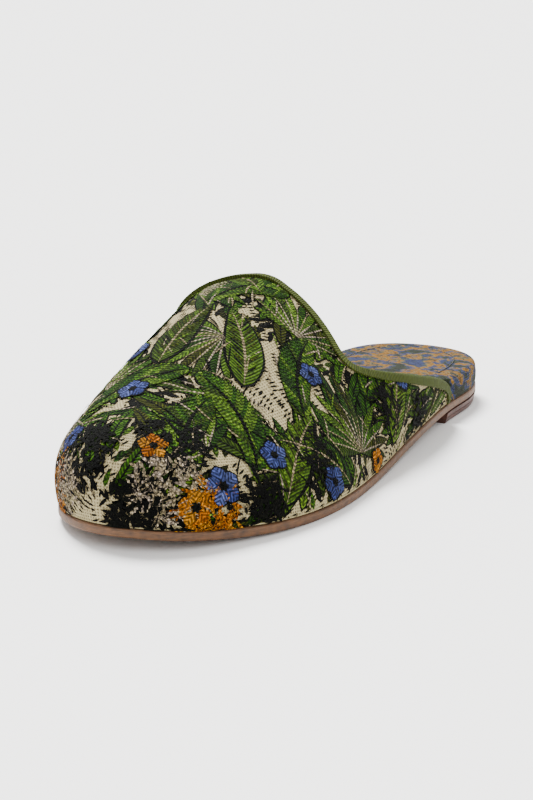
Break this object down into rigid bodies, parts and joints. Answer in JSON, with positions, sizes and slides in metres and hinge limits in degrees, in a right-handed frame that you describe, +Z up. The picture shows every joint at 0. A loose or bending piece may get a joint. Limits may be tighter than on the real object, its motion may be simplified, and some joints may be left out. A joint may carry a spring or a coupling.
{
  "type": "mule",
  "caption": "Flat backless mule for the left foot, embroidered cloth upper with high tongue and green binding, padded cloth footbed, leather sole and low heel.",
  "frame": {"origin": "bottom centre of the bounding box, on the floor under the middle of the shoe", "axes": "+Z up, -Y towards the toe, +Y towards the heel, +X to the outer side of the left foot"},
  "size_m": [0.0876, 0.2513, 0.0673],
  "materials": {
    "outsole_leather": "waxed edge, satin",
    "heel_leather": "stained and polished",
    "footbed_cloth": "woven, matt",
    "upper_cloth": "woven ground with needlework, matt",
    "binding_cloth": "ribbed tape, matt"
  },
  "bodies": {
    "root": {"outsole": "outsole_leather", "heel": "heel_leather", "footbed": "footbed_cloth", "upper": "upper_cloth", "binding": "binding_cloth"}
  },
  "joints": []
}
